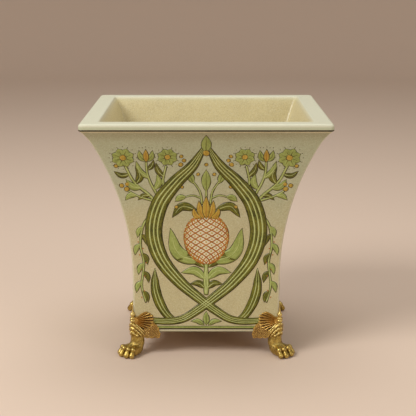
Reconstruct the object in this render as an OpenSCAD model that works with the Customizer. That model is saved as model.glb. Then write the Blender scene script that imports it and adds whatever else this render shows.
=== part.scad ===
// Square flared cachepot of glazed porcelain, carried on four gilt brass paw feet.
// The origin is on the floor under the middle of the pot, +Z is up, and the front is towards -Y.
// Each foot is drawn once, at the pot's back right corner, and turned by quarter turns to the others.

/* [Pot] */
// Width across the outside of the rim
rim_w = 305; // [285:1:340]
// Height from the floor to the top of the rim
pot_h = 307.5; // [275:0.5:340]
// Width of the straight lower part of the pot
base_w = 187; // [165:1:205]
// Height of the straight wall, from the underside to the start of the flare
straight_h = 69; // [50:1:90]
// Height of the tighter curve that ends the flare, under the rim
cove_h = 20; // [10:1:28]
// Radius of that curve
cove_r = 80; // [65:1:120]
// Width of the opening, measured at the rim
mouth_w = 257.5; // [235:0.5:262]
// Height of the rim's edge
rim_t = 9; // [8:0.5:12]
// How far the rim stands out past the top of the flare
rim_lip = 1.7; // [1.3:0.1:5]
// Rounding of the rim's upper edge
rim_r = 3.5; // [2:0.5:3.5]
// Rounding of its lower edge
lip_r = 1.2; // [0.6:0.1:1.2]
// Rounding of the rim's four corners, seen from above
rim_corner_r = 5; // [3:0.5:8]
// Thickness of the wall where it meets the floor
wall_t = 9; // [7:0.5:12]
// Height of the straight part of the inner wall, above the pot's floor
inner_straight_h = 32; // [15:1:45]
// Thickness of the floor
floor_t = 10; // [8:0.5:14]

/* [Feet] */
// Height of the pot's underside above the floor it stands on
foot_h = 30.5; // [27:0.5:34]
// Radius of the ankle
ankle_r = 9; // [8:0.5:10]
// Radius of the ball of the paw
paw_r = 10; // [9:0.5:11]
// Radius of a toe at its knuckle
knuckle_r = 4; // [3.6:0.1:4.4]
// Radius of a toe at its tip
toe_r = 3.8; // [3.1:0.1:3.9]
// Reach of the two middle toes from the root of the toes
long_toe = 17; // [15:0.5:18]
// Reach of the two outer toes from the root of the toes
short_toe = 15.5; // [14:0.5:16.5]
// Side of the square plate under the pot's corner
plate_w = 32; // [30:0.5:40]
// Thickness of that plate
plate_t = 3; // [2.5:0.25:4]

/* [Wings] */
// Thickness of a wing, without its ribs
wing_t = 2.5; // [2:0.25:4]
// Reach of a wing along the pot's face, from the corner
wing_w = 35.5; // [33:0.5:38]
// Height of a wing above the pot's underside
wing_rise = 27.5; // [23:0.5:30]
// Drop of a wing below the pot's underside
wing_drop = 8.5; // [6:0.5:10]
// Number of feather ribs on a wing
rib_count = 8; // [6:1:10]
// Radius of a feather rib
rib_r = 1.1; // [0.8:0.1:1.4]
// Width of the strip of the casting between the corner and a wing
strip_w = 5; // [4:0.5:6]

/* [Corner spine] */
// Radius of the spine's shaft
spine_r = 3; // [2.5:0.1:3.4]
// Radius of the ball near the top of the spine
ball_r = 3.1; // [2.8:0.1:3.6]
// Height of the ball's middle above the pot's underside
ball_rise = 22.8; // [19:0.1:25]
// Height of the spike's tip above the pot's underside
spike_rise = 36.5; // [32:0.5:42]

/* [Fastenings] */
// Diameter of the stud that holds a foot
stud_d = 6; // [5:0.5:8]
// Gap between the stud and the hole in the porcelain, on the radius
hole_gap = 0.5; // [0.3:0.1:1]
// Gap between the stud's thread and what is screwed on it, on the radius
thread_gap = 0.05; // [0.03:0.01:0.1]
// Diameter of the washers
washer_d = 18; // [16:0.5:22]
// Thickness of the steel washer
washer_t = 1.6; // [1:0.1:2.5]
// Thickness of the rubber seal under it
seal_t = 2; // [1.5:0.1:3]
// Width of the nut across its flats
nut_w = 10; // [9:0.5:13]
// Height of the nut
nut_h = 5; // [4:0.5:7]
// How far the stud stands out of the nut
stud_end = 2; // [1:0.5:4]
// Thickness of the pad between a foot and the pot
pad_t = 1.5; // [1:0.25:3]
// How far the pad's edge stays back from the pot's faces
pad_inset = 1; // [0.5:0.25:2]

/* [Hidden] */
$fn = 40;
flare_fn = 220;            // facets drawn on the two long arcs of the wall
bead_fn = 20;
eps = 1;                   // overshoot of a cut past the face it leaves by

corners = ["back_right", "back_left", "front_left", "front_right"];
// The two faces that meet at each corner, in the order of the foot's own +X face and +Y face
faces_at = [["side", "back"], ["back", "side"], ["side", "front"], ["front", "side"]];
function wing_name(k, i) = str("wing_", corners[k], "_", faces_at[k][i]);
function names(stem) = [for (c = corners) str(stem, "_", c)];

rim_half = rim_w / 2;
base_half = base_w / 2;
inner_half = base_half - wall_t;
mouth_half = mouth_w / 2;
rim_under = pot_h - rim_t;
flare_z = foot_h + straight_h;
floor_top = foot_h + floor_t;
// Radius of an arc that leaves a vertical line and moves out by run while it rises by rise
function arc_radius(run, rise) = (run * run + rise * rise) / (2 * run);
// The wall's run is shared by a long arc and the cove. The cove's part depends on how far the wall leans
// where the cove starts, so the long arc's part is found by trying again a few times.
wall_top = rim_half - rim_lip;
cove_z = rim_under - cove_h;
function lean(run) = 2 * atan(run / (cove_z - flare_z));
function lean_at_rim(run) = asin(sin(lean(run)) + cove_h / cove_r);
function cove_run(run) = cove_r * (cos(lean(run)) - cos(lean_at_rim(run)));
function long_run(run, tries) = tries == 0 ? run : long_run(wall_top - base_half - cove_run(run), tries - 1);
flare_run = long_run(0.7 * (wall_top - base_half), 12);
flare_r = arc_radius(flare_run, cove_z - flare_z);
// Middle of the cove's arc, on the line through the long arc's end and its middle
cove_at = [base_half + flare_run + cove_r * cos(lean(flare_run)), cove_z - cove_r * sin(lean(flare_run))];
inner_flare_z = floor_top + inner_straight_h;
inner_r = arc_radius(mouth_half - inner_half, pot_h - inner_flare_z);

plate_top = foot_h - pad_t;
plate_under = plate_top - plate_t;
washer_gap = 2;                            // between a washer's edge and the inner wall
stud_inset = wall_t + washer_d / 2 + washer_gap;    // the stud's distance from each of the two faces
stud_r = stud_d / 2;
boss_wall = 3;
boss_r = stud_r + boss_wall;
boss_h = 6;
boss_end = 2;                              // brass left below the boss's blind hole
nut_under = floor_top + seal_t + washer_t;
stud_top = nut_under + nut_h + stud_end;
stud_foot = plate_under - boss_h + boss_end;

wing_top = foot_h + wing_rise;
wing_under = foot_h - wing_drop;
spine_at = 0.7;                            // the spine's axis, outside both faces
ball_z = foot_h + ball_rise;
spike_top = foot_h + spike_rise;

// The outline's width is the same along X and along Y, so the pot is where two such bars cross.
module crossed(depth) {
    intersection_for(a = [0, 90]) rotate([90, 0, a]) linear_extrude(depth, center = true) children();
}

// A bar's section between two heights, narrowing downwards along an arc of radius r from half width low
module flared(low, half, r, z0, z1) {
    difference() {
        translate([-half, z0]) square([2 * half, z1 - z0]);
        for (side = [-1, 1]) translate([side * (low + r), z0]) circle(r, $fn = flare_fn);
    }
}

module cove_section() {
    difference() {
        translate([-wall_top, cove_z]) square([2 * wall_top, cove_h]);
        for (side = [-1, 1]) translate([side * cove_at[0], cove_at[1]]) circle(cove_r, $fn = flare_fn);
    }
}

module rim_section() {
    translate([-rim_half + rim_r, rim_under + lip_r]) square([rim_w - 2 * rim_r, rim_t - lip_r]);
    translate([-rim_half, rim_under + lip_r]) square([rim_w, rim_t - lip_r - rim_r]);
    translate([-rim_half + lip_r, rim_under]) square([rim_w - 2 * lip_r, rim_t - rim_r]);
    for (side = [-1, 1]) {
        translate([side * (rim_half - rim_r), pot_h - rim_r]) circle(rim_r);
        translate([side * (rim_half - lip_r), rim_under + lip_r]) circle(lip_r);
    }
}

module body_section() {
    translate([-base_half, foot_h]) square([base_w, straight_h]);
    flared(base_half, base_half + flare_run, flare_r, flare_z, cove_z);
    cove_section();
    rim_section();
}

module rounded_plan(half, r) {
    square([2 * half, 2 * (half - r)], center = true);
    square([2 * (half - r), 2 * half], center = true);
    for (x = [-1, 1], y = [-1, 1]) translate([x, y] * (half - r)) circle(r);
}

module porcelain_body() {
    color([0.78, 0.74, 0.58])
    difference() {
        intersection() {
            crossed(rim_w) body_section();
            linear_extrude(pot_h + eps) rounded_plan(rim_half, rim_corner_r);
        }
        crossed(rim_w) {
            translate([-inner_half, floor_top]) square([2 * inner_half, inner_straight_h]);
            flared(inner_half, rim_half, inner_r, inner_flare_z, pot_h + eps);
        }
        at_corners() translate([-stud_inset, -stud_inset, foot_h - eps])
            cylinder(r = stud_r + hole_gap, h = floor_t + 2 * eps);
    }
}

// Puts a thing drawn at the origin on corner k. Its +X and +Y then point out of the pot's two faces.
module at_corner(k) {
    rotate([0, 0, 90 * k]) translate([base_half, base_half, 0]) children();
}

module at_corners() {
    for (k = [0:3]) at_corner(k) children();
}

// A straight taper between two points, with a ball at its far end
module limb(a, ra, b, rb) {
    d = b - a;
    len = norm(d);
    turn = [0, acos(d[2] / len), atan2(d[1], d[0])];
    translate(a) rotate(turn) cylinder(r1 = ra * 0.94, r2 = rb * 0.94, h = len, $fn = bead_fn);
    translate(b) sphere(rb, $fn = bead_fn);
}

// The paw lies on the corner's diagonal. Its toes spread from one point and bend down at the knuckles.
ankle_proud = 2.8;                         // how far the ankle stands out of both faces
ankle_at = ankle_proud - ankle_r;
ankle_rise = 4;                            // the ankle's top above the pot's underside
heel = [-4, 0, 8.5];
ball_of_paw = [5, 0, paw_r / 2];
toe_root = 0.5;
toe_angles = [-40, -14, 14, 40];
module toe(angle, reach) {
    at = function (d, z) [toe_root + d * cos(angle), d * sin(angle), z];
    knuckle = at(reach * 0.74, knuckle_r * 2.3);
    instep = [2 * cos(angle) - 2.5, 8.5 * sin(angle), paw_r];
    limb(instep, knuckle_r * 0.9, knuckle, knuckle_r);
    limb(knuckle, knuckle_r * 0.95, at(reach, toe_r * 0.9), toe_r);
}

module paw() {
    rotate([0, 0, 45]) {
        for (i = [0:3]) toe(toe_angles[i], (i == 0 || i == 3) ? short_toe : long_toe);
        translate(ball_of_paw) sphere(paw_r);
        translate(heel) sphere(ankle_r + 0.5);
    }
    translate([ankle_at, ankle_at, heel[2]]) cylinder(r = ankle_r, h = foot_h + ankle_rise - heel[2]);
}

// Rings, ball and spike down the pot's corner edge, drawn as one turned profile
rings = [for (i = [0:4]) [i * 3.9, 4.4 - 0.16 * i, 2.3 - 0.15 * i]];   // height, radius, half height
spine_drop = 6;                            // how far under the pot the rings start
spine_under = foot_h - spine_drop;
spike_r = 1.6;                             // the spike's radius at the ball, and at its tip
spike_tip_r = 0.35;
module spine() {
    translate([spine_at, spine_at, 0])
    rotate_extrude()
    intersection() {
        union() {
            translate([0, spine_under]) square([spine_r, ball_z - spine_under]);
            for (g = rings) translate([g[1] - g[2], foot_h + g[0]]) circle(g[2], $fn = bead_fn);
            translate([0, ball_z]) circle(ball_r);
            polygon([[0, ball_z], [spike_r, ball_z], [spike_tip_r, spike_top], [0, spike_top]]);
        }
        translate([0, spine_under]) square([2 * ball_r + spine_r, spike_top]);
    }
}

// The angle strip on the corner that both wings are brazed to
strip_drop = 2.5;                          // how far under the pot the strip starts
strip_under = foot_h - strip_drop;
module strip() {
    translate([0, 0, strip_under])
        linear_extrude(ball_z - ball_r - strip_under)
        difference() {
            translate([-strip_w, -strip_w]) square(strip_w + wing_t);
            translate([-strip_w - eps, -strip_w - eps]) square(strip_w + eps);
        }
}

// A small bead on each outer side of the ankle, just under the pot
bead_r = 2;
bead_drop = 4.8;                           // the bead's middle below the pot's underside
bead_back = 7;                             // and back from the corner
ankle_bead = [ankle_proud - bead_r / 4, -bead_back, foot_h - bead_drop];

// One foot casting: paw, ankle, corner spine, strip, and the plate with its threaded boss
module paw_casting() {
    color([0.72, 0.55, 0.22])
    difference() {
        union() {
            paw();
            spine();
            strip();
            translate([-plate_w, -plate_w, plate_under]) cube([plate_w, plate_w, plate_t]);
            translate([-stud_inset, -stud_inset, plate_under - boss_h])
                cylinder(r = boss_r, h = boss_h + plate_t / 2);
            for (m = [0, 1]) mirror([m, -m, 0]) translate(ankle_bead) sphere(bead_r, $fn = bead_fn);
        }
        translate([-rim_half, -rim_half, plate_top]) cube([rim_half, rim_half, pot_h]);
        translate([-rim_half, -rim_half, -rim_half]) cube([rim_w, rim_w, rim_half]);
        for (m = [0, 1]) mirror([m, -m, 0]) wing_blank(2 * wing_t + eps);
        translate([-stud_inset, -stud_inset, stud_foot])
            cylinder(r = stud_r + thread_gap, h = foot_h);
    }
}

// The wing's outline, with u along the face from the corner and v up from the floor. Its edge runs
// from the top feather out round the fan, in at the notch, and round the lobe that hangs lowest.
tip_r = 2;
lobe_u = 9;                                // where the lobe's lower edge starts, past the strip
root_drop = 1;                             // how far under the pot the wing's inner edge starts
reach_at = [[0, 0.36], [0.16, 0.54], [0.3, 0.68], [0.44, 0.74],
            [0.58, 0.78], [0.72, 0.9], [0.86, 0.95], [1, 1]];
rise_at = [[0, 1], [0.16, 0.95], [0.3, 0.84], [0.44, 0.69], [0.58, 0.53], [0.72, 0.42], [0.86, 0.2], [1, 0]];
function on_edge(t) = [
    strip_w + tip_r + (wing_w - strip_w - 2 * tip_r) * lookup(t, reach_at),
    wing_under + tip_r + (wing_top - wing_under - 2 * tip_r) * lookup(t, rise_at)
];
module wing_outline() {
    tips = [for (i = [0:rib_count - 1]) on_edge(i / (rib_count - 1))];
    polygon(concat(
        [[strip_w, foot_h - root_drop], [strip_w, ball_z - ball_r]],
        tips,
        [[strip_w + lobe_u, wing_under + tip_r / 3]]
    ));
    for (p = tips) translate(p) circle(tip_r, $fn = bead_fn);
}

// The outline stood up on the pot's +X face: u runs along -Y and the thickness along +X
module wing_blank(t) {
    rotate([90, 0, -90]) mirror([0, 0, 1]) linear_extrude(t) wing_outline();
}

module wing() {
    color([0.66, 0.47, 0.18])
    rotate([90, 0, -90]) mirror([0, 0, 1]) {
        linear_extrude(wing_t) wing_outline();
        for (i = [0:rib_count - 1]) {
            t = i / (rib_count - 1);
            tip = on_edge(t);
            root = [strip_w + rib_r, ball_z - ball_r - rib_r - t * (ball_rise - ball_r - 2 * rib_r), wing_t];
            limb(root, rib_r * 0.8, [tip[0], tip[1], wing_t], rib_r);
        }
    }
}

module seat_pad() {
    color([0.25, 0.22, 0.2])
    difference() {
        translate([-plate_w, -plate_w, plate_top])
            cube([plate_w - pad_inset, plate_w - pad_inset, pad_t]);
        translate([-stud_inset, -stud_inset, plate_top - eps])
            cylinder(r = stud_r + hole_gap, h = pad_t + 2 * eps);
    }
}

module stud() {
    color([0.7, 0.7, 0.72])
    translate([-stud_inset, -stud_inset, stud_foot]) cylinder(r = stud_r, h = stud_top - stud_foot);
}

// A ring on the stud, for the seal and for the washer
module ring(z, t) {
    translate([-stud_inset, -stud_inset, z])
    difference() {
        cylinder(d = washer_d, h = t);
        translate([0, 0, -eps]) cylinder(r = stud_r + hole_gap / 2, h = t + 2 * eps);
    }
}

module seal() { color([0.15, 0.15, 0.15]) ring(floor_top, seal_t); }
module washer() { color([0.7, 0.7, 0.72]) ring(floor_top + seal_t, washer_t); }

module nut() {
    color([0.7, 0.7, 0.72])
    translate([-stud_inset, -stud_inset, nut_under])
    difference() {
        rotate([0, 0, 15]) cylinder(d = nut_w / cos(30), h = nut_h, $fn = 6);
        translate([0, 0, -eps]) cylinder(r = stud_r + thread_gap, h = nut_h + 2 * eps);
    }
}

porcelain_body();
for (k = [0:3]) at_corner(k) {
    paw_casting();
    wing();
    mirror([1, -1, 0]) wing();
    seat_pad();
    stud();
    seal();
    washer();
    nut();
}
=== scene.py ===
import math
import bpy
import numpy as np
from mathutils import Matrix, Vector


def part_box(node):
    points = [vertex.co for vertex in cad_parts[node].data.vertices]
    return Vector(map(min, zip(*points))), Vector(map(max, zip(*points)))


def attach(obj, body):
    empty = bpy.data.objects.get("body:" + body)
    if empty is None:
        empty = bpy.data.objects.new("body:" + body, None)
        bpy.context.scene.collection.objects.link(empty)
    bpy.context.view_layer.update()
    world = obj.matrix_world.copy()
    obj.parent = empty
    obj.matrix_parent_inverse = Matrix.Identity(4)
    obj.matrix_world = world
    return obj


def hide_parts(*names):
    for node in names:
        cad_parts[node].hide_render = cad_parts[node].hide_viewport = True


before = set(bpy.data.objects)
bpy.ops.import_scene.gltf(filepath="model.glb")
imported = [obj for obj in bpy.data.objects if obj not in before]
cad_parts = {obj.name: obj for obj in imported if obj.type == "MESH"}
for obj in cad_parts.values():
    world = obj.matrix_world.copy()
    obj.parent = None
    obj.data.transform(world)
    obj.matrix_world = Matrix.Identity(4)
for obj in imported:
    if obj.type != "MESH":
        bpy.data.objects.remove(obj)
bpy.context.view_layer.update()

# Square flared cachepot: crackle-glazed porcelain with painted faces, on gilt brass winged paw feet.
# Shapes are worked out in millimetres in the frame's own axes, and written to meshes in metres.

mm = 0.001

pot = {
    "rimLip": 1.6,            # how far the rim stands out past the flare
    "rimEdge": 9.0,           # height of the rim's edge
    "lineStand": 0.1,         # how far the line painted round the rim stands out
    "straight": 69.0,         # straight wall below the flare
    "coveTall": 20.0,         # height of the tighter curve right under the rim
    "coveRadius": 80.0,
    "mouthHalf": 128.75,      # half the opening
    "wall": 9.0,              # wall at the floor
    "floor": 10.0,
    "innerStraight": 32.0,    # straight part of the inner wall
    "lowerCorner": 2.4,       # rounding of the vertical edges, low down
    "upperCorner": 2.0,       # and under the rim
    "rimCorner": 5.0,         # rounding of the rim's corners in plan
    "innerCorner": 4.0,
    "bottomEdge": 1.8,        # rounding of the bottom edge
    "lipRound": 3.5,          # rounding of the rim's upper outer edge
    "lipUnder": 1.2,          # rounding of its lower outer edge
    "mouthRound": 2.6,        # rounding of the rim's inner edge
    "floorFillet": 7.0,
    "ripple": 0.3,            # unevenness of the hand-finished faces
    "rippleFade": 30,         # its fading at the foot and under the rim
    "sideSteps": 52, "cornerSteps": 7, "wallRows": 66, "coveRows": 19, "innerRows": 34,
    "underRings": (1, 12, 36, 62, 82), "floorRings": (70, 50, 30, 12, 1),
}


# Radius of an arc that leaves a vertical line and moves out by `run` while it rises by `rise`
def arcRadius(run, rise):
    return (run * run + rise * rise) / (2 * run)


bodyLow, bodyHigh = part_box("porcelain_body")
rimHalf = bodyHigh.x / mm - pot["lineStand"]
rimTop = bodyHigh.z / mm
underZ = bodyLow.z / mm
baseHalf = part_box("wing_back_right_back")[0].y / mm       # the wings lie on the pot's lower faces
rimUnder = rimTop - pot["rimEdge"]
coveRadius = pot["coveRadius"]
flareRise = rimUnder - pot["coveTall"] - underZ - pot["straight"]
wallRun = rimHalf - pot["rimLip"] - baseHalf
flareRun = 0.7 * wallRun      # a first guess: the run left for the long arc depends on its lean at the cove
for _ in range(12):
    coveLean = 2 * math.atan(flareRun / flareRise)
    rimLean = math.asin(math.sin(coveLean) + pot["coveTall"] / coveRadius)
    flareRun = wallRun - coveRadius * (math.cos(coveLean) - math.cos(rimLean))
flareRadius = arcRadius(flareRun, flareRise)
wallLength = pot["straight"] + flareRadius * coveLean + coveRadius * (rimLean - coveLean)
floorZ = underZ + pot["floor"]
innerHalf = baseHalf - pot["wall"]
innerFlareZ = floorZ + pot["innerStraight"]
innerRadius = arcRadius(pot["mouthHalf"] - innerHalf, rimTop - innerFlareZ)


# Sums with arrays

def smoothstep(low, high, x):
    t = np.clip((x - low) / (high - low), 0, 1)
    return t * t * (3 - 2 * t)


# Turns points about Z by quarter turns
def turned(points, quarters):
    c, s = [(1, 0), (0, 1), (-1, 0), (0, -1)][quarters % 4]
    x, y = points[..., 0], points[..., 1]
    return np.stack([c * x - s * y, s * x + c * y, points[..., 2]], -1)


# A smooth path through a few chosen points: Catmull-Rom pieces, each the cubic through its two ends whose
# slopes are half the step between their neighbours, then points spaced evenly along it
def pathThrough(points, step):
    p = np.array(points, float)
    p = np.concatenate([[2 * p[0] - p[1]], p, [2 * p[-1] - p[-2]]])
    t = np.linspace(0, 1, 24, endpoint=False)[:, None]
    pieces = [0.5 * (2 * b + (c - a) * t + (2 * a - 5 * b + 4 * c - d) * t**2
                     + (3 * b - a - 3 * c + d) * t**3)
              for a, b, c, d in zip(p[:-3], p[1:-2], p[2:-1], p[3:])]
    fine = np.concatenate(pieces + [p[-2][None]])
    along = np.append(0, np.cumsum(np.linalg.norm(np.diff(fine, axis=0), axis=1)))
    even = np.linspace(0, along[-1], max(int(round(along[-1] / step)), 6) + 1)
    return np.stack([np.interp(even, along, column) for column in fine.T], -1)


# The unit vector to the left of a path at each of its points
def sideways(path):
    along = np.gradient(path, axis=0)
    along /= np.maximum(np.linalg.norm(along, axis=1), 1e-6)[:, None]
    return np.stack([-along[:, 1], along[:, 0]], -1)


# Meshes

# Joins the points of a grid (rows, columns, 3) into quads. The columns close round. Each end of the rows
# is closed by a fan to one point, or, for a ring, the rows close too. Returns vertices and faces.
def skin(grid, ring=False):
    rows, columns = grid.shape[:2]
    index = np.arange(rows * columns).reshape(rows, columns)
    after = np.roll(index, -1, axis=1)
    if ring:
        quads = np.stack([index, after, np.roll(after, -1, axis=0), np.roll(index, -1, axis=0)], -1)
        return grid.reshape(-1, 3), [quads.reshape(-1, 4)]
    quads = np.stack([index[:-1], after[:-1], after[1:], index[1:]], -1).reshape(-1, 4)
    points = np.concatenate([grid.reshape(-1, 3), grid[0].mean(0)[None], grid[-1].mean(0)[None]])
    low = np.stack([after[0], index[0], np.full(columns, rows * columns)], -1)
    high = np.stack([index[-1], after[-1], np.full(columns, rows * columns + 1)], -1)
    return points, [quads, low, high]


# A surface turned round an axis: rows of (distance along the axis, radius)
def lathe(profile, start, columns, axis=(0, 0, 1)):
    axis = np.array(axis, float) / np.linalg.norm(axis)
    side = np.cross(axis, [0.31, 0.83, -0.46])       # any direction that is no casting's own axis
    side /= np.linalg.norm(side)
    up = np.cross(axis, side)
    a = np.linspace(0, 2 * math.pi, columns, endpoint=False)
    profile = np.array(profile)
    ring = np.cos(a)[:, None] * side + np.sin(a)[:, None] * up
    return skin(np.array(start) + profile[:, 0, None, None] * axis + profile[:, 1, None, None] * ring)


# A plain block between two corners, its ends closed by small fans
def blockShell(low, high):
    low, high = np.array(low, float), np.array(high, float)
    square = np.array([[-1, -1], [1, -1], [1, 1], [-1, 1]])
    rows = [np.concatenate([square * scale, np.full((4, 1), z)], 1)
            for scale, z in ((0.05, -1), (1, -1), (1, 1), (0.05, 1))]
    return skin((low + high) / 2 + np.array(rows) * ((high - low) / 2))


# Signed volume of a closed shell: the sum over its triangles of the corner products over six
def shellVolume(points, faces):
    total = 0.0
    for block in faces:
        a = points[block[:, 0]]
        for k in range(1, block.shape[1] - 1):
            total += np.einsum("ij,ij->i", a, np.cross(points[block[:, k]], points[block[:, k + 1]])).sum()
    return total / 6


# Puts several shells, each a pair (points, faces), into one list, every shell facing outwards
def gather(shells):
    points, faces, start = [], [], 0
    for shellPoints, shellFaces in shells:
        if shellVolume(shellPoints, shellFaces) < 0:
            shellFaces = [block[:, ::-1] for block in shellFaces]
        points.append(shellPoints)
        faces += [block + start for block in shellFaces]
        start += len(shellPoints)
    return np.concatenate(points), faces


# Writes points in millimetres and blocks of faces into a new object, with any vertex attributes
def makeObject(name, points, faces, marks=None):
    mesh = bpy.data.meshes.new(name)
    sizes = np.concatenate([np.full(len(block), block.shape[1]) for block in faces])
    around = np.concatenate([block.reshape(-1) for block in faces]).astype(np.int32)
    mesh.vertices.add(len(points))
    mesh.vertices.foreach_set("co", (points * mm).astype(np.float32).reshape(-1))
    mesh.loops.add(len(around))
    mesh.loops.foreach_set("vertex_index", around)
    mesh.polygons.add(len(sizes))
    mesh.polygons.foreach_set("loop_start", np.append(0, np.cumsum(sizes)[:-1]).astype(np.int32))
    mesh.polygons.foreach_set("use_smooth", np.full(len(sizes), True))
    mesh.update(calc_edges=True)
    mesh.validate()
    for mark, values in (marks or {}).items():
        layer = mesh.attributes.new(mark, "FLOAT", "POINT")
        layer.data.foreach_set("value", values.astype(np.float32))
    made = bpy.data.objects.new(name, mesh)
    bpy.context.scene.collection.objects.link(made)
    return made


# Gives a new piece its finish and slot, and lets it stand for a solid of the frame
def dress(piece, finish, node=None):
    piece.data.materials.append(finish)
    if node:
        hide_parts(node)
    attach(piece, "root")


def discard(made):
    mesh = made.data
    bpy.data.objects.remove(made)
    bpy.data.meshes.remove(mesh)


# The mesh of an object as its modifiers leave it: points in millimetres and triangles. Removes the object.
def harvest(made):
    result = made.evaluated_get(bpy.context.evaluated_depsgraph_get())
    mesh = result.to_mesh()
    points = np.empty(len(mesh.vertices) * 3, np.float32)
    mesh.vertices.foreach_get("co", points)
    mesh.calc_loop_triangles()
    triangles = np.empty(len(mesh.loop_triangles) * 3, np.int32)
    mesh.loop_triangles.foreach_get("vertices", triangles)
    result.to_mesh_clear()
    discard(made)
    return points.reshape(-1, 3).astype(float) / mm, [triangles.reshape(-1, 3)]


# Materials

# A colour as a painter reads it off a sample, 0 to 255, made linear
def tint(red, green, blue):
    channels = np.array([red, green, blue]) / 255
    linear = np.where(channels <= 0.04045, channels / 12.92, ((channels + 0.055) / 1.055) ** 2.4)
    return (*[float(v) for v in linear], 1.0)


# A socket of a finish. Sums, differences and products of sockets and numbers add their Math nodes.
class Socket:
    def __init__(self, finish, socket):
        self.finish = finish
        self.socket = socket

    def math(self, operation, a, b):
        return self.finish.node("Math", {"operation": operation}, {0: a, 1: b})

    def __add__(self, other):
        return self.math("ADD", self, other)

    def __sub__(self, other):
        return self.math("SUBTRACT", self, other)

    def __rsub__(self, other):
        return self.math("SUBTRACT", other, self)

    def __mul__(self, other):
        return self.math("MULTIPLY", self, other)

    __radd__ = __add__
    __rmul__ = __mul__

    def above(self, low, high):          # 0 below low, 1 above high, smooth between
        settings = {"interpolation_type": "SMOOTHSTEP"}
        return self.finish.node("MapRange", settings, {0: self, 1: low, 2: high, 3: 0.0, 4: 1.0})


# A material under construction
class Finish:
    def __init__(self, name):
        self.material = bpy.data.materials.new(name)
        self.material.use_nodes = True
        self.tree = self.material.node_tree
        self.tree.nodes.clear()

    def node(self, kind, settings=None, inputs=None, output=0):
        made = self.tree.nodes.new("ShaderNode" + kind)
        for key, value in (settings or {}).items():
            setattr(made, key, value)
        for key, value in (inputs or {}).items():
            if isinstance(value, Socket):
                self.tree.links.new(value.socket, made.inputs[key])
            else:
                made.inputs[key].default_value = value
        return Socket(self, made.outputs[output]) if made.outputs else None

    def place(self):
        return self.node("TexCoord", output=3)

    def mark(self, name):
        return self.node("Attribute", {"attribute_name": name}, output=2)

    def mix(self, factor, a, b, blend="MIX"):
        settings = {"data_type": "RGBA", "blend_type": blend}
        return self.node("Mix", settings, {0: factor, 6: a, 7: b}, output=2)

    def noise(self, size, detail, rough=0.5):
        return self.node("TexNoise", None, {"Vector": self.place(), "Scale": 1 / (size * mm),
                                            "Detail": detail, "Roughness": rough})

    def cells(self, size, where):
        settings = {"feature": "DISTANCE_TO_EDGE"}
        return self.node("TexVoronoi", settings, {"Vector": where, "Scale": 1 / (size * mm)})

    def bump(self, height, depth, under=None):
        inputs = {"Height": height, "Distance": depth * mm, "Strength": 1.0}
        if under:
            inputs["Normal"] = under
        return self.node("Bump", None, inputs)

    def surface(self, **values):
        inputs = {key.replace("_", " "): value for key, value in values.items()}
        self.node("OutputMaterial", None, {"Surface": self.node("BsdfPrincipled", None, inputs)})
        return self.material


glazeLook = {
    "clay": tint(192, 183, 138),          # the glaze's ground
    "shade": tint(179, 187, 155),         # painted shade: the greener grey the glaze turns to towards the rim
    "thin": tint(220, 219, 196),          # on edges, where it runs thin and where a highlight is painted along the corners
    "rim": tint(207, 206, 180),
    "rimFace": tint(186, 191, 160),       # the rim's upright edge
    "inside": tint(206, 192, 143),
    "bare": tint(203, 192, 170),          # unglazed underside
    # stain of the crackle and of the dark speckle, and the colour of the painted shade under the rim
    "stainAndShade": tint(140, 124, 88),
    "driftSize": 42, "drift": 0.4, "climb": 0.7,     # how its tones wander, and turn to the painted shade towards the rim
    "shadeFrom": 16, "shadeTo": 4, "shadeDark": 0.34,      # painted shade just under the rim, where the cove is shaded: from and to, below it, and how dark
    "speckleSize": 1.7, "paleSpeckle": 0.3, "darkSpeckle": 0.16,
    "crackSize": 5.5, "crackWidth": 0.055, "crackStain": 0.34,
    "fineCrackSize": 2.3, "fineCrackWidth": 0.09, "fineCrackStain": 0.3, "finePatch": 30,
    "wander": 0.018, "wanderScale": 260.0,           # how the cracks' lines stray
    # lighter edges: thin glaze, with a painted highlight along the corners
    "thinEdgeAndHighlight": 0.4,
    "rough": 0.26, "roughSize": 9, "coat": 0.2, "coatRough": 0.15,
    "waveSize": 14, "waveDepth": 0.12, "fineDepth": 0.03,
}
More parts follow.
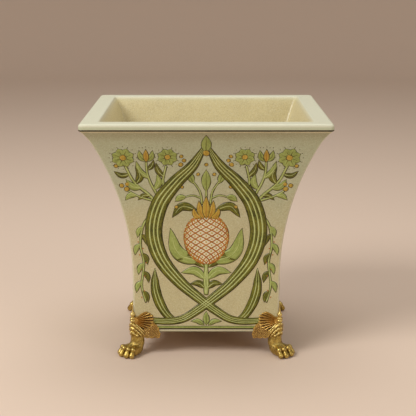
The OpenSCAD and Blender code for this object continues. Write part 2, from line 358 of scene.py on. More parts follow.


# Cream crackle glaze. The ground wanders between two tones with slow noise, turns to a tone of painted shade
# towards the rim, darkens as painted shade just under it, and is speckled with fine noise. Fine stained lines
# follow the edges of two sizes of cells, and edges are lighter, for thin glaze and a painted highlight.
def glazeFinish():
    f, look = Finish("crackle glaze"), glazeLook
    height = f.node("SeparateXYZ", None, {0: f.place()}, 2)
    # towards the rim the ground turns to the tone of painted shade
    drift = f.noise(look["driftSize"], 3) * look["drift"] + height.above(0.12, 0.29) * look["climb"]
    ground = f.mix(drift.above(0.15, 0.9), look["clay"], look["shade"])
    # painted shade: the ground darkens just under the rim, where the cove lies in shade
    rimShadow = height.above((rimUnder - look["shadeFrom"]) * mm, (rimUnder - look["shadeTo"]) * mm)
    rimShadow = rimShadow * look["shadeDark"]
    ground = f.mix(rimShadow, ground, look["stainAndShade"])
    ground = f.mix(f.mark("inside"), ground, look["inside"])
    rim, bare = f.mark("rim"), f.mark("bare")
    plain = 1 - rim * 0.75
    speckle = f.noise(look["speckleSize"], 3, 0.7)
    ground = f.mix(speckle.above(0.48, 0.72) * look["paleSpeckle"], ground, look["thin"])
    darkened = f.mix(look["darkSpeckle"], ground, look["stainAndShade"])
    ground = f.mix(speckle.above(0.34, 0.5), darkened, ground)
    rimColour = f.mix(height.above((rimTop - 5) * mm, (rimTop - 2.5) * mm), look["rimFace"], look["rim"])
    ground = f.mix(rim * 0.9, ground, rimColour)
    stray = f.node("TexNoise", None, {"Vector": f.place(), "Scale": look["wanderScale"]}, 1)
    wander = f.mix(look["wander"], f.place(), stray, "ADD")
    lines = 1 - f.cells(look["crackSize"], wander).above(0.0, look["crackWidth"])
    fineLines = 1 - f.cells(look["fineCrackSize"], wander).above(0.0, look["fineCrackWidth"])
    patches = f.noise(look["finePatch"], 2).above(0.4, 0.62)
    stain = (fineLines * patches * look["fineCrackStain"] + lines * look["crackStain"]) * plain
    ground = f.mix(stain, ground, look["stainAndShade"])
    # edges lighter for thin glaze, and as a painted highlight along the corners
    ground = f.mix(f.mark("edge").above(0.15, 0.95) * look["thinEdgeAndHighlight"], ground, look["thin"])
    ground = f.mix(bare, ground, look["bare"])
    rough = look["rough"] + f.noise(look["roughSize"], 3) * 0.14 + rim * 0.16 + bare * 0.4
    waves = f.bump(f.noise(look["waveSize"], 2), look["waveDepth"])
    normal = f.bump((lines * -1.0 + fineLines * -0.4) * plain + speckle * 0.5, look["fineDepth"], waves)
    return f.surface(Base_Color=ground, Roughness=rough, Normal=normal,
                     Coat_Weight=look["coat"] - rim * 0.14, Coat_Roughness=look["coatRough"])


paints = {                   # each paint where it lies thick and where it lies thin
    "line": (tint(46, 38, 22), tint(84, 70, 40)),
    "dark": (tint(54, 58, 2), tint(124, 122, 34)),
    "leaf": (tint(130, 142, 66), tint(164, 176, 98)),
    "pale": (tint(170, 180, 104), tint(198, 206, 140)),
    "rust": (tint(148, 84, 14), tint(186, 124, 44)),
    "ochre": (tint(162, 132, 36), tint(198, 168, 72)),
    "white": (tint(208, 200, 164), tint(228, 222, 194)),
}
brushwork = {
    "blot": 2.6, "wash": 6,                          # size of the blots, and of the washes in blots
    "streakAcross": 1.1, "streakAlong": 0.07,        # streaks to a millimetre
    "rough": 0.32, "depth": 0.03, "coat": 0.1, "coatRough": 0.15, "shine": 0.35,
}


# One underglaze colour, brushed on. It pools and thins in blots and in streaks that run along each stroke,
# on the marks "along" and "across", which give the place on the stroke in millimetres.
def paintFinish(name, thick, thin):
    f, look = Finish(name), brushwork
    drift = f.noise(look["blot"], 4, 0.65)
    wash = f.noise(look["blot"] * look["wash"], 2)
    across, along = f.mark("across") * look["streakAcross"], f.mark("along") * look["streakAlong"]
    where = f.node("CombineXYZ", None, {0: across, 1: along, 2: wash * 2.0})
    streak = f.node("TexNoise", None, {"Vector": where, "Scale": 1.0, "Detail": 3.0, "Roughness": 0.6})
    amount = (drift * 0.3 + wash * 0.2 + streak * 0.5).above(0.36, 0.64)
    return f.surface(Base_Color=f.mix(amount, thick, thin), Roughness=look["rough"] + drift * 0.12,
                     Normal=f.bump(drift * 0.5 + streak * 0.5, look["depth"]), Coat_Weight=look["coat"],
                     Coat_Roughness=look["coatRough"], Specular_IOR_Level=look["shine"])


# the lightest colour is rubbed brass on the crests and also serves as painted highlight
castLook = {"wornAndHighlight": tint(228, 206, 132), "bright": tint(204, 176, 90), "mellow": tint(146, 117, 46),
            "dark": tint(50, 36, 10)}
wingLook = {"wornAndHighlight": tint(224, 188, 106), "bright": tint(202, 162, 78), "mellow": tint(156, 115, 45),
            "dark": tint(80, 45, 12)}
brassSurface = {
    "patchSize": 7, "mottleSize": 2.2, "pitSize": 1.1, "grainSize": 0.8, "dentSize": 3.0,
    "depth": 0.06, "pitDepth": 1.3,                  # the pits' depth in depths of the grain
    "rough": 0.3, "coat": 0.3, "coatRough": 0.2,
    "dull": 0.55,                                    # how far grime takes the metal's shine away
}


# Old gilt brass: bright where it stands proud and is handled, with painted highlight on those crests, on the
# spine and at the wings' centres, brown in the hollows, mottled all over
def brassFinish(name, look):
    f, metal = Finish(name), brassSurface
    hollowAndPaintedLight = f.mark("hollowAndPaintedLight")
    mottle = f.noise(metal["mottleSize"], 4, 0.6)
    patches = f.noise(metal["patchSize"], 3) * 0.6 + mottle * 0.4
    colour = f.mix(patches.above(0.36, 0.64), look["bright"], look["mellow"])
    grime = (hollowAndPaintedLight + (mottle - 0.5) * 0.6).above(0.06, 0.5)
    # the lightest colour on crests: rubbed brass and painted highlight, and painted light on the spine and
    # the wings' centres
    colour = f.mix((0 - hollowAndPaintedLight).above(0.12, 0.7), colour, look["wornAndHighlight"])
    colour = f.mix(grime, colour, look["dark"])
    pits = 1 - f.noise(metal["pitSize"], 3, 0.6).above(0.3, 0.5)
    rough = metal["rough"] + mottle * 0.16 + grime * 0.3
    grain = f.noise(metal["grainSize"], 3) + f.noise(metal["dentSize"], 2) - pits * metal["pitDepth"]
    return f.surface(Base_Color=colour, Roughness=rough, Metallic=1.0 - grime * metal["dull"],
                     Normal=f.bump(grain, metal["depth"]), Coat_Weight=metal["coat"],
                     Coat_Roughness=metal["coatRough"])


# The porcelain body

# Half width, height and lean of the outer wall at a distance s up it from the underside: straight first,
# then an arc of flareRadius that starts upright, then the cove's tighter arc
def wallAt(s):
    low = np.clip((s - pot["straight"]) / flareRadius, 0, coveLean)
    high = np.clip(s - pot["straight"] - flareRadius * coveLean, 0, None) / coveRadius
    half = baseHalf + flareRadius * (1 - np.cos(low))
    half = half + coveRadius * (math.cos(coveLean) - np.cos(coveLean + high))
    height = underZ + np.minimum(s, pot["straight"]) + flareRadius * np.sin(low)
    height = height + coveRadius * (np.sin(coveLean + high) - math.sin(coveLean))
    return half, height, low + high


# Rounding of the vertical edges at a distance s up the wall
def edgeRound(s):
    return pot["lowerCorner"] + (pot["upperCorner"] - pot["lowerCorner"]) * np.clip(s / wallLength, 0, 1) ** 2


# Unevenness of face k at (x, s): three slow waves, faded out towards the edges, the foot and the rim
def ripple(k, x, s):
    across = np.clip(1 - (x / wallAt(s)[0]) ** 4, 0, 1)
    up = np.clip(s / pot["rippleFade"], 0, 1) * np.clip((wallLength - s) / pot["rippleFade"], 0, 1)
    waves = (np.sin(x / 21 + 1.7 * k) * np.sin(s / 37 + 0.9 * k)
             + 0.6 * np.sin(x / 43 - s / 29 + 2.3 * k) + 0.4 * np.sin(s / 17 + x / 60 + k))
    return pot["ripple"] * waves * across * up


# Points of face k, where x runs across it, s up it, and lift stands off it, all in millimetres
def onFace(k, x, s, lift):
    half, height, lean = wallAt(s)
    out = -half - lift * np.cos(lean) - ripple(k, x, s)
    return turned(np.stack([x, out, height - lift * np.sin(lean)], -1), k)


# Points of an arc round a centre of the profile, from one angle to another in degrees
def bend(centreX, centreZ, radius, start, end, count=6):
    a = np.radians(np.linspace(start, end, count))
    return np.stack([centreX + radius * np.cos(a), centreZ + radius * np.sin(a)], -1)


# The body's profile from the middle of the underside round to the middle of the floor, as rows
# (half width, height, plan rounding, distance up the wall or -1)
def bodyProfile():
    bottom, lip, low, edge = pot["bottomEdge"], pot["lipRound"], pot["lipUnder"], pot["mouthRound"]
    inner, fillet = pot["mouthHalf"], pot["floorFillet"]
    rows = []

    def add(points, rounding, s=-1.0):
        half, height = np.array(points, float).T
        rows.append(np.stack(np.broadcast_arrays(half, height, np.minimum(rounding, half * 0.9), s), -1))

    add([(half, underZ) for half in (*pot["underRings"], baseHalf - 3)], pot["lowerCorner"])
    add(bend(baseHalf - bottom, underZ + bottom, bottom, -90, 0), pot["lowerCorner"])
    # rows up the wall, closer together in the cove
    s = np.concatenate([np.linspace(bottom + 2, wallLength - 26, pot["wallRows"]),
                        np.linspace(wallLength - 24.6, wallLength - 0.2, pot["coveRows"])])
    add(np.stack(wallAt(s)[:2], -1), edgeRound(s), s)
    add(bend(rimHalf - low, rimUnder + low, low, -90, 0), pot["rimCorner"])
    add(bend(rimHalf - lip, rimTop - lip, lip, 0, 90, 8), pot["rimCorner"])
    flat = np.linspace(rimHalf - lip - 2.5, inner + edge + 1, 6)
    add([(half, rimTop - 0.12) for half in flat], pot["rimCorner"])
    add(bend(inner + edge, rimTop - edge, edge, 90, 150), pot["innerCorner"])
    heights = np.linspace(rimTop - edge - 3, innerFlareZ, pot["innerRows"])
    reach = innerRadius - np.sqrt(innerRadius**2 - (heights - innerFlareZ) ** 2)
    add(np.stack([innerHalf + reach, heights], -1), pot["innerCorner"])
    add([(innerHalf, innerFlareZ - 8), (innerHalf, floorZ + fillet + 5)], pot["innerCorner"])
    add(bend(innerHalf - fillet, floorZ + fillet, fillet, 0, -90, 7), pot["innerCorner"])
    add([(half, floorZ) for half in pot["floorRings"]], pot["innerCorner"])
    return np.concatenate(rows)


planSide = np.linspace(-1, 1, pot["sideSteps"])
planArc = np.radians(np.linspace(-90, 0, pot["cornerSteps"])[1:-1])
isCorner = np.tile(np.concatenate([np.zeros(len(planSide)), np.ones(len(planArc))]), 4)


# Carries rows (half width, height, plan rounding, distance up the wall or -1) round a square plan. Each
# quarter is a straight side and an arc, and rows with a distance take that face's unevenness.
def aroundPlan(half, height, rounding, s):
    half, height, rounding, s = (np.array(v, float)[:, None] for v in (half, height, rounding, s))
    flat = half - rounding
    x = np.concatenate([planSide * flat, flat + rounding * np.cos(planArc)], 1)
    y = np.concatenate([np.repeat(-half, len(planSide), 1), rounding - half + rounding * np.sin(planArc)], 1)
    quarters = []
    for k in range(4):
        uneven = np.where(s > 0, ripple(k, x, np.maximum(s, 0)), 0)
        uneven[:, len(planSide):] = 0
        quarters.append(turned(np.stack([x, y - uneven, height + 0 * x], -1), k))
    return np.concatenate(quarters, 1)


# The body, marked for its glaze: on its edges, which also carry a painted highlight, on the rim and the foot,
# inside, and where it is bare
def makeBody():
    half, height, rounding, s = bodyProfile().T
    grid = aroundPlan(half, height, rounding, s)
    points, faces = gather([skin(grid)])
    onRim = smoothstep(rimUnder - 0.5, rimUnder + 1.5, height)
    onRim = onRim * smoothstep(pot["mouthHalf"] - 3, pot["mouthHalf"] + 2, half)
    onRim = np.maximum(onRim, (half > baseHalf - 1.5) * (height < underZ + 2))
    inside = (np.arange(len(half)) > np.argmax(height)) & (half < pot["mouthHalf"] + 1)
    marks = {"edge": isCorner * (s > 0)[:, None], "rim": onRim[:, None], "inside": inside[:, None],
             "bare": (height < underZ + 0.01)[:, None]}
    for name, values in marks.items():
        values = np.broadcast_to(values * 1.0, grid.shape[:2])
        marks[name] = np.append(values, [values[0, 0], values[-1, 0]])
    dress(makeObject("porcelain", points, faces, marks), glazeFinish(), "porcelain_body")


# Painted decoration: thin closed strokes that stand a fraction of a millimetre proud of the faces

stroke = {
    "sink": 0.35,        # how far a stroke's underside lies inside the porcelain
    "first": 0.06,       # height of the lowest stroke
    "rise": 0.02,        # added by each level
    "crown": 0.02,
    "step": 2.2,         # spacing of sections along a stroke
    "leafStep": 1.8,     # and along a leaf
    "wobble": 0.3,       # unsteadiness of the hand
    "outline": 0.65,     # width of the dark outline on each side
    "thinnest": 0.1,
    "dot": 0.55,         # radius of the smallest dots
    "rib": 0.84,         # how far a leaf's midrib runs
    "pointEvery": 3.2,   # width of a stroke to each point across it
}
strokes = {name: [] for name in paints}


# Notes one stroke: the path on the face, its width at each point, its paint and its level, and with it
# its mirror twin
def draw(colour, path, width, level, twin=True):
    width = np.broadcast_to(width, len(path)) * 1.0
    strokes[colour].append((path, width, level))
    if twin:
        strokes[colour].append((path * [-1, 1], width, level))


# A stroke with a dark outline under it, which runs on past both ends to a point
def outlined(colour, path, width, level, twin=True):
    width = np.broadcast_to(width, len(path)) * 1.0
    ends = [path[0] - path[1], path[-1] - path[-2]]
    first, last = [end * stroke["outline"] / max(np.linalg.norm(end), 1e-6) for end in ends]
    around = np.concatenate([[path[0] + 2 * first, path[0] + first], path,
                             [path[-1] + last, path[-1] + 2 * last]])
    wide = width + 2 * stroke["outline"]
    wide = np.concatenate([[stroke["thinnest"], wide[0] * 0.7], wide, [wide[-1] * 0.7, stroke["thinnest"]]])
    draw("line", around, wide, level, twin)
    draw(colour, path, width, level + 1, twin)


# Widths along a leaf: nothing at the root, widest at `belly`, pointed at the tip
def leafWidth(count, wide, belly):
    t = np.linspace(0, 1, count)
    rise = np.clip(np.sin(0.5 * math.pi * t / belly), 0, 1) ** 0.8
    fall = np.clip(np.cos(0.5 * math.pi * (t - belly) / (1 - belly)), 0, 1) ** 0.9
    return np.maximum(wide * np.where(t < belly, rise, fall), 0.12)


# A leaf with its outline and its midrib, along a parabola whose middle is `bow` to the left of the straight
# line from root to tip
def leaf(root, tip, bow, wide, colour, level, rib="pale", twin=True, belly=0.42):
    root, tip = np.array(root, float), np.array(tip, float)
    x, s = along = tip - root
    middle = (root + tip) / 2 + bow * np.array([-s, x]) / np.linalg.norm(along)
    path = pathThrough([root, middle, tip], stroke["leafStep"])
    outlined(colour, path, leafWidth(len(path), wide, belly), level, twin)
    keep = slice(1, int(len(path) * stroke["rib"]))
    if rib:
        draw(rib, path[keep], np.linspace(1.0, 0.45, len(path[keep])), level + 2, twin)


def leaves(level, rows):
    for root, tip, bow, wide, colour in rows:
        leaf(root, tip, bow, wide, colour, level)


# A round spot: a stroke up its middle, as wide as the circle is at each height
def spot(colour, centre, radius, level, twin=True, outline=True, count=10):
    a = np.linspace(-0.5 * math.pi, 0.5 * math.pi, count)
    path = np.stack([np.full(count, float(centre[0])), centre[1] + radius * np.sin(a)], -1)
    width = np.maximum(2 * radius * np.cos(a), stroke["thinnest"])
    if outline:
        grown = (radius + stroke["outline"]) / radius
        rim = np.stack([path[:, 0], centre[1] + (path[:, 1] - centre[1]) * grown], -1)
        draw("line", rim, np.maximum(width * grown, stroke["thinnest"]), level, twin)
    draw(colour, path, width, level + 1, twin)


# A small dot with few sides and no outline
def dot(colour, centre, radius, level, twin=True):
    spot(colour, centre, radius, level, twin, False, 6)


# A wide ribbon of dark green with pale lines along it
def strap(points, widths, level, lines=3):
    path = pathThrough(points, stroke["step"])
    wide = np.interp(np.linspace(0, 1, len(path)), np.linspace(0, 1, len(widths)), widths)
    outlined("dark", path, wide, level)
    across = sideways(path)
    for i in range(lines):
        offset = (i + 1) / (lines + 1) - 0.5
        draw("pale", path + across * (wide * offset)[:, None], np.clip(wide * 0.085, 0.4, 1.7), level + 2)


# A stem that thins towards its end, with its outline and a pale line
def stem(points, wide, level):
    path = pathThrough(points, stroke["step"])
    outlined("leaf", path, np.linspace(wide, wide * 0.7, len(path)), level)
    draw("pale", path, wide * 0.28, level + 2)
    return path


# A flower of petals round a spotted middle, with a ring of dots
def rosette(centre, radius, petals, level):
    centre = np.array(centre, float)
    for i in range(petals):
        a = 2 * math.pi * (i + 0.5) / petals
        reach = np.array([math.cos(a), math.sin(a)])
        leaf(centre + reach * radius * 0.2, centre + reach * radius, 0, radius * 0.66, "leaf", level, "dark",
             belly=0.62)
    spot("ochre", centre, radius * 0.27, level + 3)
    for i in range(petals * 2):
        a = math.pi * i / petals
        dot("line", centre + 1.18 * radius * np.array([math.cos(a), math.sin(a)]), stroke["dot"], level)


# A flower seen from the side: a pointed middle petal between two bowed ones
def tulip(centre, size, level):
    x, y = centre
    for side in (-1, 1):
        leaf((x, y - size * 0.55), (x + side * size * 0.62, y + size * 0.62), -side * size * 0.2,
             size * 0.55, "leaf", level, "dark")
    leaf((x, y - size * 0.6), (x, y + size * 0.75), 0, size * 0.5, "ochre", level + 2, "rust")
    for i in range(5):
        dot("line", (x + (i - 2) * size * 0.3, y + size * (0.98 + 0.1 * (i == 2))), stroke["dot"], level)


fruit = {"middle": 124.0, "halfWide": 28.0, "halfTall": 34.0, "turns": 6, "cross": 11,
         "lean": 1.15, "twist": 1.9, "net": 1.7, "dot": 1.1}


# Half width of the fruit at a height t from -1 to 1: a circle's, fuller above the middle
def fruitHalf(t):
    return fruit["halfWide"] * np.sqrt(np.clip(1 - t * t, 0, 1)) * (1 + 0.08 * t)


# The fruit: a net of two families of curves that run round it, as on a melon, with a dot in each mesh
def drawFruit(level):
    t = np.linspace(-1, 1, 34)
    path = np.stack([np.zeros(34), fruit["middle"] + fruit["halfTall"] * t], -1)
    outlined("white", path, np.maximum(2 * fruitHalf(t), 0.2), level, twin=False)
    fine = np.linspace(-0.985, 0.985, 60)
    spacing = math.pi / fruit["turns"]
    turns = range(-fruit["cross"], fruit["cross"] + 1)
    for i in turns:
        angle = i * spacing + fruit["lean"] * fine * fruit["twist"]
        seen = np.abs(angle) < 0.49 * math.pi
        if seen.sum() >= 5:
            x = fruitHalf(fine) * np.sin(angle)
            line = np.stack([x, fruit["middle"] + fruit["halfTall"] * fine], -1)[seen]
            draw("rust", line, fruit["net"], level + 2)
    for i in turns:
        for j in range(-9, 10):
            height = j * spacing / (2 * fruit["lean"] * fruit["twist"])
            angle = (i + 0.5 * (j % 2)) * spacing + 0.5 * spacing
            if abs(height) < 0.9 and abs(angle) < 0.42 * math.pi:
                centre = (fruitHalf(height) * math.sin(angle), fruit["middle"] + fruit["halfTall"] * height)
                dot("ochre", centre, fruit["dot"], level + 2, twin=False)


# The whole design of one face, x across from the middle and s up from the underside. It is drawn once for
# the right half, and each stroke has its mirror twin on the left.
def drawDesign():
    strap([(-76, 16), (-60, 14.5), (-44, 14.5), (-29, 18), (-13, 28), (8, 44), (34, 67), (57, 98), (66, 134),
           (58, 172), (38, 202), (17, 226), (3, 252)],
          [7, 8.5, 10, 11.5, 13.5, 16.5, 19, 20.5, 21, 20, 17, 13, 5], 5)
    strap([(40, 14), (51, 24), (60, 40), (65, 60), (65, 84)], [7, 10, 12, 12, 9, 0.3], 1, 2)
    leaf((0, 9.5), (0, 27), 0, 8, "leaf", 1, "dark", twin=False)
    leaf((3, 9.5), (19, 14.5), 2.5, 6, "leaf", 1, "dark")
    leaf((0, 246), (0, 272), 0, 12, "leaf", 9, "dark", twin=False)
    spot("ochre", (0, 245), 3.8, 12, twin=False)
    stem([(0, 50), (1.5, 66), (0, 92)], 4.6, 1)
    drawFruit(3)
    for tipX, tipS, bow, wide in ((16, 166, -3, 6.5), (9, 176, -1.5, 7.5), (0, 182, 0, 9)):
        leaf((tipX * 0.4, 152), (tipX, tipS), bow, wide, "ochre", 5 if tipX else 7, "rust", twin=tipX > 0)
    leaves(1, [((2, 86), (37, 96), 9, 15, "dark"), ((3, 92), (45, 138), -15, 17, "leaf"),
               ((1.5, 70), (31, 79), 7, 11, "leaf"), ((1, 58), (20, 64), 4, 8, "dark"),
               ((12, 164), (42, 154), 10, 11, "dark")])
    stem([(5, 172), (8, 190), (17, 205)], 2.2, 1)
    leaf((16, 201), (27, 218), 2, 9, "leaf", 2, "dark", belly=0.5)
    stem([(6, 180), (16, 184), (26, 182)], 1.8, 1)
    leaf((25, 182), (38, 176), 2, 8, "leaf", 2, "dark", belly=0.5)
    stem([(0, 178), (0, 196)], 2.4, 1)
    leaf((0, 190), (0, 220), 0, 11, "leaf", 2, "dark", twin=False, belly=0.5)
    for centre in ((10, 214), (30, 196), (37, 168), (-0.1, 228)):
        spot("ochre", centre, 1.9, 3)
    drawSprays()


# Outside the straps: sprays of flowers towards the rim's corners, and a leafy trail down the edge
def drawSprays():
    stem([(59, 170), (72, 186), (88, 202), (99, 226)], 3.6, 1)
    stem([(56, 176), (66, 196), (72, 214), (73, 232)], 3.0, 1)
    stem([(50, 186), (53, 204), (49, 226)], 3.0, 1)
    stem([(64, 176), (82, 182), (96, 190)], 2.6, 1)
    rosette((101, 238), 14, 8, 4)
    rosette((47, 239), 12.5, 8, 4)
    tulip((73, 240), 13, 4)
    leaves(1, [((68, 184), (84, 178), 3, 7, "dark"), ((80, 194), (98, 206), -4, 9, "leaf"),
               ((86, 200), (86, 224), 5, 9, "dark"), ((64, 192), (60, 214), 4, 8, "leaf"),
               ((70, 208), (85, 232), -4, 8, "leaf"), ((52, 200), (34, 214), 5, 9, "leaf"),
               ((51, 210), (61, 230), -3, 7, "dark"), ((86, 184), (100, 178), 3, 7, "leaf"),
               ((94, 214), (112, 218), -4, 7, "dark"), ((72, 220), (64, 234), 2, 6, "dark")])
    for x, s, radius in ((98, 193, 3.0), (104, 198, 2.6), (97, 200, 2.4), (110, 226, 2.2), (31, 228, 2.6),
                         (27, 234, 2.2), (30, 240, 2.0)):
        spot("ochre", (x, s), radius, 2)
    trail = stem([(69, 158), (79, 142), (83, 116), (79, 92), (82, 62), (77, 40)], 2.6, 1)
    for i in range(9):
        root = trail[int((0.06 + 0.103 * i) * (len(trail) - 1))]
        side = 1 if i % 2 else -1
        leaf(root, root + np.array([side * 7.0, -14.5]), side * 2.0, 6.4, ("dark", "leaf")[i % 2], 2, None)
    for i in range(13):
        x, s = trail[int(min(0.02 + i / 13, 0.98) * (len(trail) - 1))]
        dot("rust", (x + (-2.9 if i % 2 else 2.9), s - 2), 0.9, 2)


# One stroke as a closed solid on face k: a low crowned section carried along the path. Its marks are each
# point's place across the stroke and along it.
def strokeShell(k, path, width, level, seed):
    t = np.linspace(0, 1, len(path))
    sway = stroke["wobble"] * np.stack([np.sin(7 * t + seed) + np.sin(17 * t + 2 * seed + k),
                                        np.cos(9 * t + 3 * seed + k)], -1) * 0.5
    path = path + sway * np.sin(math.pi * t)[:, None]
    across = sideways(path)
    count = int(np.clip(width.max() / stroke["pointEvery"] + 3, 3, 22))
    place = np.append(np.linspace(-1, 1, count), [0.92, -0.92])
    lift = np.append(np.full(count, 1.0), [0, 0]) * (stroke["first"] + stroke["rise"] * level)
    lift[:count] += stroke["crown"] * (1 - np.linspace(-1, 1, count) ** 2)
    lift[count:] = -stroke["sink"]
    aside = place * 0.5 * width[:, None]
    flat = path[:, None] + across[:, None] * aside[..., None]
    length = np.append(0, np.cumsum(np.linalg.norm(np.diff(path, axis=0), axis=1)))
    marks = np.stack([aside + 37 * seed, 0 * aside + length[:, None] + 230 * k], -1)
    marks = np.concatenate([marks.reshape(-1, 2), marks[[0, -1], 0]])
    return skin(onFace(k, flat[..., 0], flat[..., 1], np.broadcast_to(lift, flat.shape[:2]))), marks


# A band round the whole pot between two distances up the wall, following the rounded edges
def bandShell(low, high, lift):
    s = np.array([low, low, (low + high) / 2, high, high])
    rise = np.array([-stroke["sink"], lift, lift + 0.03, lift, -stroke["sink"]])
    half, height, lean = wallAt(s)
    grid = aroundPlan(half + rise * np.cos(lean), height - rise * np.sin(lean), edgeRound(s), s)
    return skin(grid, ring=True)


# The dark line round the lower edge of the rim: it starts `above` it on the upright face and ends on the
# rounding, `end` degrees down it
def rimLineShell(above=0.8, end=50):
    low, stand, sink = pot["lipUnder"], pot["lineStand"], 0.3
    a = np.radians(np.array([0, 0, 25, end, end]))
    r = low + np.array([-sink, stand, stand, stand, -sink])
    half, height = rimHalf - low + r * np.cos(a), rimUnder + low - r * np.sin(a)
    height[:2] += above
    return skin(aroundPlan(half, height, np.full(5, pot["rimCorner"]), np.full(5, -1)), ring=True)


bands = {                # from and to, up the wall, and height
    "line": [(3.1, 5.0, 0.1), (7.3, 8.1, 0.1)],
    "leaf": [(5.0, 7.3, 0.08)],
    "white": [(1.9, 3.1, 0.08), (wallLength - 2.4, wallLength - 0.9, 0.08)],
}


def makePaint():
    drawDesign()
    for name, (thick, thin) in paints.items():
        shells = [bandShell(*band) for band in bands.get(name, [])]
        if name == "line":
            shells.append(rimLineShell())
        marks = [np.zeros((len(points), 2)) for points, _ in shells]
        for k in range(4):
            for number, (path, width, level) in enumerate(strokes[name]):
                shell, place = strokeShell(k, path, width, level, number * 1.37)
                shells.append(shell)
                marks.append(place)
        points, faces = gather(shells)
        across, along = np.concatenate(marks).T
        piece = makeObject("paint_" + name, points, faces, {"across": across, "along": along})
        dress(piece, paintFinish(name + " underglaze", thick, thin))
        print("paint", name, len(shells), "strokes", sum(len(b) for b in faces), "faces")


# Brass castings. They are worked out at the back right corner, with the pot's vertical edge at x = y = 0,
# x and y outwards and z up from the floor, and then turned to all four corners.

corners = {              # each corner's two wings, on the foot's own +X face and +Y face
    "back_right": ("side", "back"), "back_left": ("back", "side"),
    "front_left": ("side", "front"), "front_right": ("front", "side"),
}


# How deep each vertex lies in a recess, from -1 on a sharp ridge to 1: how far the relaxed surface stands
# above it along its normal, over `depth` millimetres. In each round a vertex moves half way to the mean of
# its neighbours.
def hollowness(points, faces, depth, rounds):
    pairs = np.concatenate([np.stack([block[:, i], block[:, (i + 1) % block.shape[1]]], -1)
                            for block in faces for i in range(block.shape[1])])
    here, near = np.concatenate([pairs, pairs[:, ::-1]]).T
    count = np.maximum(np.bincount(here, minlength=len(points)), 1)
    smooth = points
    for _ in range(rounds):
        total = np.stack([np.bincount(here, smooth[near, k], len(points)) for k in range(3)], -1)
        smooth = 0.5 * smooth + 0.5 * total / count[:, None]
    return np.clip(np.einsum("ij,ij->i", smooth - points, normals(points, faces)) / depth, -1, 1)


# Vertex normals: the sum of the normals of the faces round each vertex, made unit length
def normals(points, faces):
    total = np.zeros_like(points)
    for block in faces:
        a, b, c, d = (points[block[:, i]] for i in (0, 1, 2, -1))
        across = np.cross(c - a, d - b)
        for i in range(block.shape[1]):
            for k in range(3):
                total[:, k] += np.bincount(block[:, i], across[:, k], len(points))
    return total / np.maximum(np.linalg.norm(total, axis=1), 1e-9)[:, None]


# Place in a staggered (a, b) lattice, whose odd rows are moved half a cell: the distance from the cell's
# middle across, 0 to 1, and the place along it, 0 to 1
def staggered(a, b):
    row = np.floor(b)
    return np.abs((a + 0.5 * (row % 2)) % 1 - 0.5) * 2, b - row


foot = {
    "ankle": 8.4,             # radius of the ankle
    "ankleBack": 6.9,         # its axis, inwards from the pot's edge along the diagonal
    "top": (-7.0, 0, underZ - 5), "ankleTall": 16, "heel": (-4.6, 0, 8.5), "heelMore": 0.3,
    "palm": ((-1, 2.5, 7), 7.4, (4.5, 4.6, 6.2), 6.2),
    "knuckle": 3.6,
    "toes": [                 # back of each toe and its radius, knuckle, claw's root and tip, claw's radius
        ((-4.5, 4.0, 10.5), 4.6, (9.6, 9.9, 10.2), (12.2, 10.9, 6.3), (13.4, 11.1, 3.9), 3.5),
        ((-2.5, 1.6, 11.0), 4.4, (12.6, 4.0, 10.6), (15.4, 4.4, 6.5), (17.0, 4.6, 4.0), 3.7),
    ],
    "toeEnd": 2.2, "clawRoot": (2.3, 2.5), "clawTaper": 0.5,
    "column": (0.7, 0.7),     # axis of the corner's column, in x and y
    "columnSpan": (-2, 17), "columnRadius": (2.5, 2.4),
    "lumps": [(-0.8, 3.6), (4.9, 3.4), (10.6, 3.3)],     # height above the underside and radius
    "webs": [[(0.0, 1.0, 9.4, 2.4), (5.0, 1.2, 6.7, 2.4), (11.0, 1.0, 0.6, 1.9)],
             [(0.0, 1.0, 4.8, 2.5), (3.9, 1.2, 2.8, 2.5), (9.2, 1.2, -2.8, 2.0)]],
    "ridges": [[(-2.5, 2.5, 11.7, 1.5), (1.2, 3.7, 10.0, 1.55), (5.0, 4.5, 6.9, 1.35), (8.2, 4.6, 3.8, 1.15),
                (11.0, 4.2, 0.6, 0.9), (13.2, 3.3, -2.4, 0.6)],
               [(1.4, 3.0, 10.6, 0.8), (4.4, 3.3, 10.2, 0.9), (8.2, 3.8, 7.0, 0.95), (11.4, 3.7, 3.5, 0.85),
                (14.0, 2.8, 0.3, 0.55)],
               [(-2.5, 2.5, 6.0, 1.5), (0.6, 3.7, 5.2, 1.6), (3.8, 4.4, 3.0, 1.45), (6.8, 4.5, 0.2, 1.2),
                (9.2, 4.1, -2.6, 0.85), (10.8, 3.4, -5.2, 0.55)],
               [(-2.5, 2.5, 0.2, 1.4), (0.2, 3.4, -1.0, 1.4), (2.6, 3.7, -2.6, 1.1)],
               [(5.0, 3.4, -4.0, 1.9), (5.3, 3.4, -4.1, 1.9)]],
    "softBlend": 0.8, "crispBlend": 0.28,                # how far the cones flow into each other
    "voxel": 0.36,            # fineness of the casting's mesh
    "probe": 0.05,            # step with which its slope is measured
    "furDepth": 0.6, "furTall": 3.3, "furCount": 16,     # tufts round the ankle
    "furSole": (3, 8), "furTop": (-4.5, -2.5), "furReach": (12.5, 15.5),    # where it fades out
    "spine": 2.3,             # radius of the corner's spine between its rings
    "spike": ((26.0, 26.8, 36.2), (1.5, 1.25, 0.3)),     # heights above the pot's underside, and radii
    "rings": [(15.6, 3.9, 1.4), (18.7, 3.8, 1.35), (23.3, 3.2, 3.2), (26.5, 1.8, 0.7)],
    "hollowDepth": 0.3, "hollowRounds": 10,
    "ringDepth": 0.8, "ringHighlight": 0.4,                 # painted highlight on the rings, the ball and the spike: reach and strength
    "plate": 32.0, "plateThick": 3.0, "pad": 1.5,
    "studInset": 20.0, "bossRadius": 6.0, "bossTall": 6.0, "bossEdge": 0.6,
    "strip": 2.2, "stripReach": 5, "stripSpan": (-2.5, 19.7), "gap": 0.02,
}


